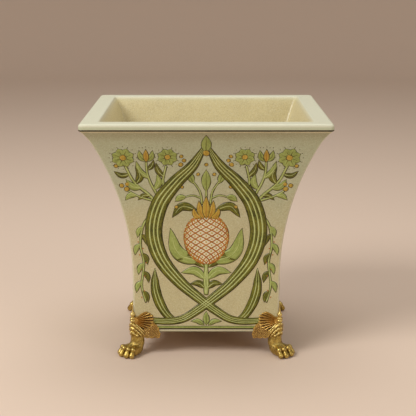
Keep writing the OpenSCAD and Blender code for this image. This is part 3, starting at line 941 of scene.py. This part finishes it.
# The rounded cones of one casting, as (from, radius, to, radius) with points in local x, y, z. Those of the
# first list flow into each other softly, and those of the second are crisper. Points of the paw are given
# as d along the diagonal, e to each side of it, and z, and those of webs and ridges as u along a face from
# the corner, w out of it, z from the pot's underside, and radius.
def castingCones():
    def at(point, side=1):
        d, e, z = point[0], point[1] * side, point[2]
        return ((d - e) / math.sqrt(2), (d + e) / math.sqrt(2), z)

    r, knuckle, ankle = foot["ankle"], foot["knuckle"], at((-foot["ankleBack"], 0, foot["ankleTall"]))
    soft = [(at(foot["top"]), r, ankle, r), (ankle, r, at(foot["heel"]), r + foot["heelMore"])]
    crisp = []
    thin, thick = foot["clawRoot"]
    for side in (-1, 1):
        start, size, end, endSize = foot["palm"]
        soft.append((at(start, side), size, at(end, side), endSize))
        for back, size, root, *_ in foot["toes"]:
            soft.append((at(back, side), size, at(root, side), foot["toeEnd"]))
        for *_, root, claw, tip, size in foot["toes"]:
            root, claw, tip = at(root, side), at(claw, side), at(tip, side)
            crisp.append((root, knuckle, root, knuckle))
            soft.append((root, thin, claw, thick))
            crisp.append((claw, size - foot["clawTaper"], tip, size))
    (low, high), (lowSize, highSize) = foot["columnSpan"], foot["columnRadius"]
    soft.append(((*foot["column"], underZ + low), lowSize, (*foot["column"], underZ + high), highSize))
    for z, size in foot["lumps"]:
        lump = (*foot["column"], underZ + z)
        crisp.append((lump, size, lump, size))
    for cones, lines in ((soft, foot["webs"]), (crisp, foot["ridges"])):
        for line in lines:
            for (u, w, z, size), (u2, w2, z2, size2) in zip(line, line[1:]):
                cones.append(((w, -u, z + underZ), size, (w2, -u2, z2 + underZ), size2))
                cones.append(((-u, w, z + underZ), size, (-u2, w2, z2 + underZ), size2))
    return soft, crisp


# Distance from points to a rounded cone: to the nearest point of its axis, less the radius there
def coneDistance(points, cone):
    a, b = np.array(cone[0], float), np.array(cone[2], float)
    along = b - a
    t = np.clip((points - a) @ along / max(along @ along, 1e-9), 0, 1)
    return np.linalg.norm(points - a - t[:, None] * along, axis=1) - (cone[1] + t * (cone[3] - cone[1]))


# Smooth least of several distances: minus blend times the log of the sum of exp(-distance / blend)
def softLeast(distances, blend):
    return -blend * np.logaddexp.reduce(-np.array(distances) / blend, axis=0)


def castingField(points, soft, crisp):
    body = softLeast([coneDistance(points, cone) for cone in soft], foot["softBlend"])
    return softLeast([body] + [coneDistance(points, cone) for cone in crisp], foot["crispBlend"])


# A rounded cone as a closed shell: half circles at both ends of a straight flank
def coneShell(cone):
    a, b = np.array(cone[0], float), np.array(cone[2], float)
    length = np.linalg.norm(b - a)
    axis = (b - a) / length if length > 1e-6 else np.array([0, 0, 1.0])
    turn = np.radians(np.linspace(4, 90, 7))
    profile = [(-cone[1] * math.cos(t), cone[1] * math.sin(t)) for t in turn]
    profile += [(length + cone[3] * math.cos(t), cone[3] * math.sin(t)) for t in turn[::-1]]
    return lathe(profile, a, 18, axis)


# How far the fur stands out at each point: overlapping tufts that rise down the ankle and out along the
# paw, each a rounded hump across, strayed by slow waves and faded out below the ridges and above the sole
def furHeight(points):
    x, y, z = points.T
    d, e = (x + y) / math.sqrt(2) + foot["ankleBack"], (y - x) / math.sqrt(2)
    reach = np.hypot(d, e)
    climb = z + 0.35 * np.clip(reach - foot["ankle"], 0, None)
    strayA, strayB = np.sin(x * 1.9 + 2 * np.sin(z * 1.3)), np.sin(y * 2.3 + 2 * np.sin(x * 1.1))
    aside, along = staggered(np.arctan2(e, d) / (2 * math.pi) * foot["furCount"] + 0.45 * strayA,
                             -climb / foot["furTall"] + 20 + 0.4 * strayB)
    fur = (1 - aside**2) * (0.25 + 0.75 * along) * (0.75 + 0.25 * strayA * strayB)
    low, high = foot["furTop"]
    where = smoothstep(*foot["furSole"], z) * (1 - smoothstep(underZ + low, underZ + high, z))
    where *= 1 - smoothstep(*foot["furReach"], reach)
    return fur * where * foot["furDepth"] - 0.25 * where


# The casting: its cones are joined by a voxel skin, each point is moved onto the smooth field, the fur is
# raised on ankle and paw, the sole is flattened, and the corner where pot and pad stand is cut out
def castFoot():
    soft, crisp = castingCones()
    rough = makeObject("rough casting", *gather([coneShell(cone) for cone in soft + crisp]))
    skinned = rough.modifiers.new("skin", "REMESH")
    skinned.mode, skinned.voxel_size = "VOXEL", foot["voxel"] * mm
    points, faces = harvest(rough)
    for _ in range(4):
        value = castingField(points, soft, crisp)
        slope = np.stack([castingField(points + step, soft, crisp) - castingField(points - step, soft, crisp)
                          for step in np.eye(3) * foot["probe"]], -1) / (2 * foot["probe"])
        points = points - slope * (value / np.maximum((slope**2).sum(1), 0.2))[:, None]
    points = points + normals(points, faces) * furHeight(points)[:, None]
    points[:, 2] = np.maximum(points[:, 2], 0)
    cast = makeObject("cast", points, faces)
    far = 60                 # past the casting on every side
    block = blockShell((-far, -far, underZ - foot["pad"]), (0, 0, far * 2))
    block = makeObject("corner block", *gather([block]))
    cut = cast.modifiers.new("cut", "BOOLEAN")
    cut.object, cut.operation, cut.solver = block, "DIFFERENCE", "MANIFOLD"
    points, faces = harvest(cast)
    discard(block)
    return points, faces


# Ball, rings and spike of the corner edge above the casting's ridges, as rows (height above the pot's
# underside, radius). Each ring is the upper envelope of a circle.
def spineProfile():
    z = np.concatenate([np.linspace(12, 26.4, 100), np.linspace(26.8, 36.2, 20)])
    radius = np.where(z < foot["spike"][0][0], foot["spine"], np.interp(z, *foot["spike"]))
    for middle, reach, tall in foot["rings"]:
        t = np.clip(1 - ((z - middle) / tall) ** 2, 0, None)
        radius = np.maximum(radius, np.where(t > 0, reach - min(tall, reach) * (1 - np.sqrt(t)), 0))
    return np.stack([z + underZ, radius], -1)


# The strip that covers the pot's corner, an L in plan, with its two ends closed by quads
def stripShell():
    out, gap, reach = foot["strip"], foot["gap"], -foot["stripReach"]
    plan = np.array([(out, out), (out, reach), (gap, reach), (gap, gap), (reach, gap), (reach, out)])
    grid = [np.concatenate([plan, np.full((6, 1), underZ + z)], 1) for z in foot["stripSpan"]]
    points, blocks = skin(np.array(grid))
    return points[:-2], [blocks[0], np.array([[3, 2, 1, 0], [5, 4, 3, 0], [6, 7, 8, 9], [6, 9, 10, 11]])]


# Spine, plate, boss and strip of one foot, as one list of shells
def footFittings():
    low, side, inset = underZ - foot["pad"] - foot["plateThick"], foot["plate"], foot["studInset"]
    tall, radius, edge = foot["bossTall"], foot["bossRadius"], foot["bossEdge"]
    boss = [(-tall, 0.2), (-tall, radius - edge), (edge - tall, radius), (1, radius), (1, 0.2)]
    return gather([lathe(spineProfile(), (*foot["column"], 0), 28),
                   blockShell((-side, -side, low), (-foot["gap"], -foot["gap"], low + foot["plateThick"])),
                   lathe(boss, (-inset, -inset, low), 40), stripShell()])


wing = {
    "centre": (2.0, 15.7),    # middle of the mesh's rays, as u along the face and v above the underside
    "focus": (-3.0, 16.6),    # where the feathers' lines meet
    "outline": [(0.4, -4.2), (0.4, 20.2), (5.0, 20.6), (9.5, 23.9), (14.0, 26.5), (17.4, 27.3), (21.0, 25.8),
                (25.2, 23.2), (26.4, 19.5), (26.7, 16.0), (26.9, 12.2), (28.2, 10.8), (30.6, 9.6),
                (32.5, 6.4), (33.6, 2.4), (34.5, -1.4), (35.2, -4.4), (34.6, -7.0), (32.4, -8.3),
                (28.0, -8.5), (20.0, -8.5), (14.6, -8.3), (11.2, -4.2)],
    "fan": [(-180, 17), (-90, 16), (-67, 17), (-42, 19.2), (-24, 22.6), (-6, 24.2), (0, 30), (60, 60),
            (180, 60)],       # the fan's reach in each direction, in degrees
    "borderWide": ([20, 34, 42, 90], [1.0, 1.2, 2.6, 2.6]),   # stretch of the fan's upper border
    "topAngle": 24.0,         # direction from the focus below which the feathers lie, with a border above
    "feather": 8.7,           # degrees from one feather to the next
    "base": 1.45, "ridge": 1.9, "barb": 0.03, "barbStep": 1.5, "rootRise": 1.3,
    "ridgeFrom": (1.5, 7), "barbFrom": (7, 12), "rootTo": (3, 17),            # distances from the centre
    "vaneTall": 1.05, "vaneWide": 0.58, "vaneLow": 0.45, "vaneTilt": 0.1,     # section of a feather
    "borderTall": 1.3, "borderEdge": (3.4, 2.3),
    "tipNotch": 0.075, "tipSharp": 2.4,       # how the feathers' tips cut into the rim
    "scallop": 0.03, "scallops": 19,          # and the lobe's waves
    "scale": 2.1, "scaleRise": 0.75, "lobeRim": 0.5, "lobeEdge": (2.4, 0.9),
    "front": (-96, 92),       # directions of the rays on the finer side of the mesh
    "frontRays": 260, "backRays": 40, "rows": 92,
    "hollowDepth": 0.34, "hollowRounds": 14,
    "onLobe": (9, 5),         # heights between which the feathers' colouring gives way to the lobe's
    "lobeDark": 0.1, "lobeBlotch": 0.25, "lobeHollow": 0.5,
    "hubPlain": (5, 15),      # distances from the centre between which the hollows begin
    "hub": (14, 7), "hubPaintedLight": 0.35,        # painted light, brighter towards the centre, which lies in shade
}


# Distance from the wing's centre to its outline in each direction: where the ray meets the polygon's sides
def outlineReach(angle):
    p = np.array(wing["outline"]) - wing["centre"]
    side = np.roll(p, -1, axis=0) - p
    ray = np.stack([np.cos(angle), np.sin(angle)], -1)[:, None]
    across = ray[..., 0] * side[:, 1] - ray[..., 1] * side[:, 0]
    across = np.where(np.abs(across) < 1e-9, 1e-9, across)
    along = (p[:, 0] * side[:, 1] - p[:, 1] * side[:, 0]) / across
    place = (p[:, 0] * ray[..., 1] - p[:, 1] * ray[..., 0]) / across
    return np.where((place >= 0) & (place <= 1) & (along > 0), along, 0).max(1)


# How many feathers below the fan's border a point lies
def featherCount(u, v):
    direction = np.degrees(np.arctan2(v - wing["focus"][1], u - wing["focus"][0]))
    return (wing["topAngle"] - direction) / wing["feather"]


# A wing's relief as points (u, v, w). Feathers are ridges that fan out from the centre and overlap like
# tiles; below and beyond them the lobe is covered with scales. The rim is rounded and the back is flat.
def wingRelief():
    first, last = wing["front"]
    front = np.linspace(first, last, wing["frontRays"])
    angle = np.radians(np.concatenate([front, np.linspace(last, first + 360, wing["backRays"] + 2)[1:-1]]))
    degrees = (np.degrees(angle) + 180) % 360 - 180
    reach = outlineReach(angle)
    fan = np.interp(degrees, *np.array(wing["fan"]).T)
    onFan, lobed = (degrees > -92) & (degrees < 93), reach > fan
    for _ in range(3):                     # rounds the outline's corners
        reach = 0.5 * reach + 0.25 * (np.roll(reach, 1) + np.roll(reach, -1))

    def spread(radius):
        return wing["centre"][0] + radius * np.cos(angle), wing["centre"][1] + radius * np.sin(angle)

    count = featherCount(*spread(reach))
    tips = 1 - wing["tipNotch"] * np.abs(2 * (count % 1) - 1) ** wing["tipSharp"]
    scallops = 1 - wing["scallop"] * np.abs(np.sin(np.radians(degrees) * wing["scallops"])) ** 3
    reach = reach * np.where(onFan & (count > 0) & ~lobed, tips, np.where(onFan & lobed, scallops, 1))
    share = (np.linspace(0.02, 1, wing["rows"]) ** 0.8)[:, None]
    radius, fromRim = share * reach, (1 - share) * reach
    u, v = spread(radius)
    count = featherCount(u, v)
    inFeather = count % 1
    aside = np.abs(2 * inFeather - 1)
    grow = smoothstep(*wing["ridgeFrom"], radius)
    root = wing["rootRise"] * (1 - smoothstep(*wing["rootTo"], radius))
    vane = wing["vaneTall"] * np.exp(-((aside / wing["vaneWide"]) ** 2)) - wing["vaneLow"]
    vane = vane + wing["vaneTilt"] * (0.5 - inFeather)
    barbs = wing["barb"] * np.sin((radius + 1.3 * aside) * 2 * math.pi / wing["barbStep"]) * (1 - aside)
    barbs = barbs * smoothstep(*wing["barbFrom"], radius)
    feathers = wing["base"] + root + (wing["ridge"] * vane + barbs) * grow
    inside = fromRim / np.interp(degrees, *wing["borderWide"])
    border = wing["borderTall"] * smoothstep(*wing["borderEdge"], inside) - wing["vaneLow"]
    border = wing["base"] + root + border * grow
    feathers = np.where((count < 0) & (degrees > 0) & (degrees < 100), border, feathers)
    inLobe = smoothstep(-0.7, 0.5, radius - fan * (1 - 0.09 * aside**2.2))
    s = v * 0.55 - u * 0.85 + 0.4 * np.sin(u * 1.1 + v * 0.7)
    t = u * 0.5 + v * 0.87 + 0.4 * np.sin(v * 0.9 - u * 0.6)
    p, q = staggered(t / wing["scale"], s / (wing["scale"] * 0.8))
    grains = (1 - p**2) * (1 - (np.abs(q - 0.5) * 2) ** 2)
    scales = wing["base"] - 0.1 + wing["scaleRise"] * grains
    lobeRim = (wing["base"] + wing["lobeRim"]) * smoothstep(*wing["lobeEdge"], fromRim)
    scales = np.maximum(scales, lobeRim)
    w = feathers * (1 - inLobe) + scales * inLobe
    top = np.stack([u, v, w * (1 - 0.5 * smoothstep(0.955, 1, share))], -1)
    wall = [top[-1] * [1, 1, k] for k in (0.7, 0.35, 0.0)]
    centre = np.array([*wing["centre"], 0.0])
    back = [centre + (wall[-1] - centre) * k for k in (0.97, 0.6, 0.03)]
    return np.concatenate([top, wall, back])


# One wing at the back right corner, on the foot's own +X face or, mirrored, on its +Y face, and its mark:
# the feathers' hollows, with painted light at the wing's centre, which lies in shade, and the lobe's pits
# with blotches
def wingShell(points, faces, mirrored):
    u, v, w = points.T
    local = np.stack([-u, w, v + underZ] if mirrored else [w, -u, v + underZ], -1)
    shell, shellFaces = gather([(local, faces)])
    away = np.hypot(u - wing["centre"][0], v - wing["centre"][1])
    onLobe = smoothstep(*wing["onLobe"], v)
    hollowAndPaintedLight = hollowness(shell, shellFaces, wing["hollowDepth"], wing["hollowRounds"])
    hollowAndPaintedLight = hollowAndPaintedLight * (smoothstep(*wing["hubPlain"], away) + wing["lobeHollow"] * onLobe)
    blotch = np.sin(u * 1.2 + 2 * np.sin(v * 0.8)) * np.sin(v * 1.4 + 2 * np.sin(u * 0.7))
    # painted light: the centre, in the shade of the column, is lifted towards the bright worn colour
    hollowAndPaintedLight = hollowAndPaintedLight + ((wing["lobeDark"] + wing["lobeBlotch"] * blotch) * onLobe
                       - wing["hubPaintedLight"] * smoothstep(*wing["hub"], away))
    return shell, shellFaces, hollowAndPaintedLight


def makeBrass():
    castBrass, wingBrass = brassFinish("gilt brass", castLook), brassFinish("gilt brass wings", wingLook)
    cast, fittings = castFoot(), footFittings()
    points, faces = gather([cast, fittings])
    # painted highlight: the ball, rings and spike are pushed below zero so that they take the bright worn
    # colour
    bright = hollowness(*fittings, foot["ringDepth"], 3) - foot["ringHighlight"]
    bright = bright * (fittings[0][:, 2] > underZ + 12)
    hollowAndPaintedLight = hollowness(*cast, foot["hollowDepth"], foot["hollowRounds"])
    hollowAndPaintedLight = np.concatenate([hollowAndPaintedLight, bright])
    relief = skin(wingRelief())
    wings = [wingShell(*relief, mirrored) for mirrored in (False, True)]

    def place(name, shellPoints, shellFaces, mark, k):
        atCorner = turned(shellPoints + [baseHalf, baseHalf, 0], k)
        return makeObject(name, atCorner, shellFaces, {"hollowAndPaintedLight": mark})

    for k, (corner, sides) in enumerate(corners.items()):
        piece = place("casting_" + corner, points, faces, hollowAndPaintedLight, k)
        dress(piece, castBrass, "paw_" + corner)
        for side, shell in zip(sides, wings):
            end = corner + "_" + side
            dress(place("feathers_" + end, *shell, k), wingBrass, "wing_" + end)
        print("brass", corner, len(points), len(relief[0]), "points")


# Fastenings and rubber parts keep the frame's own solids and get their finishes here

plainLooks = {
    "steel": {"nodes": ("stud", "washer", "nut"), "colours": (tint(176, 178, 182), tint(136, 138, 144)),
              "rough": 0.3, "metallic": 1.0, "grain": 1.6, "depth": 0.02},
    "rubber": {"nodes": ("seal", "seat_pad"), "colours": (tint(44, 43, 42), tint(62, 60, 57)),
               "rough": 0.7, "metallic": 0.0, "grain": 1.2, "depth": 0.05},
}


def plainFinish(name, look):
    f = Finish(name)
    amount = f.noise(look["grain"], 3).above(0.35, 0.65)
    return f.surface(Base_Color=f.mix(amount, *look["colours"]), Roughness=look["rough"] + amount * 0.1,
                     Metallic=look["metallic"], Normal=f.bump(f.noise(look["grain"] * 0.4, 3), look["depth"]))


def dressFastenings():
    for name, look in plainLooks.items():
        finish = plainFinish(name, look)
        for node in look["nodes"]:
            for corner in corners:
                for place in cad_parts[node + "_" + corner].material_slots:
                    place.material = finish


# Stage: a wide pale floor that curves up into a low wall all round, soft lamps and the camera. In metres.

stage = {
    "floor": tint(214, 192, 172), "floorRough": 0.85,
    "flat": 3.4, "curve": 1.2, "wall": 2.6,
    "lamps": {           # place, width and power
        "key": ((-1.5, -1.3, 1.9), 1.3, 46),
        "fill": ((1.8, -1.6, 1.1), 1.8, 12),
        "top": ((0.1, 0.5, 2.2), 1.6, 16),
    },
    "aim": (0, 0, 0.15),
    "world": (0.9, 0.88, 0.86, 1.0), "worldStrength": 0.45,
}
shot = {
    "lens": 99.0, "sensor": 36.0,
    "back": 1.4967, "height": 0.4978, "pitch": 12.24,
    "shift": 0.0043,          # the pot stands a little left of the picture's middle
}


# Puts a lamp or a camera into the scene
def hang(name, data, place, rotation):
    holder = bpy.data.objects.new(name, data)
    bpy.context.scene.collection.objects.link(holder)
    holder.location, holder.rotation_euler = place, rotation
    return holder


def makeStage():
    angle = np.linspace(0, 2 * math.pi, 128, endpoint=False)
    rise = np.radians(np.linspace(0, 90, 16))
    flat, curve = stage["flat"], stage["curve"]
    radius = np.concatenate([[0.01, 0.5, 1.5], flat + curve * np.sin(rise), [flat + curve]])[:, None]
    height = np.concatenate([[0, 0, 0], curve * (1 - np.cos(rise)), [stage["wall"]]])[:, None]
    grid = np.stack([radius * np.cos(angle), radius * np.sin(angle), height + 0 * angle], -1) / mm
    points, (quads, middle, _) = skin(grid)          # turned over, so that the floor faces up
    floor = makeObject("floor", points[:-1], [quads[:, [0, 3, 2, 1]], middle[:, [1, 0, 2]]])
    floorFinish = Finish("floor").surface(Base_Color=stage["floor"], Roughness=stage["floorRough"])
    floor.data.materials.append(floorFinish)
    for name, (place, width, power) in stage["lamps"].items():
        lamp = bpy.data.lights.new(name + " lamp", "AREA")
        lamp.shape, lamp.size, lamp.energy = "DISK", width, power
        x, y, z = towards = np.array(stage["aim"]) - np.array(place)
        tilt = math.acos(-z / np.linalg.norm(towards))
        hang(name + " lamp", lamp, place, (tilt, 0, math.atan2(y, x) - math.pi / 2))
    world = bpy.data.worlds.new("studio")
    bpy.context.scene.world = world
    world.use_nodes = True
    background = world.node_tree.nodes["Background"]
    background.inputs["Color"].default_value = stage["world"]
    background.inputs["Strength"].default_value = stage["worldStrength"]
    bpy.context.scene.view_settings.view_transform = "Standard"


def makeCamera():
    camera = bpy.data.cameras.new("camera")
    camera.sensor_width, camera.lens, camera.shift_x = shot["sensor"], shot["lens"], shot["shift"]
    bpy.context.scene.camera = hang("camera", camera, (0, -shot["back"], shot["height"]),
                                    (math.radians(90 - shot["pitch"]), 0, 0))


makeCamera()
makeStage()
print("stage ready")
makeBody()
print("porcelain body ready")
makePaint()
print("paint ready")
makeBrass()
print("brass ready")
dressFastenings()
print("fastenings ready")
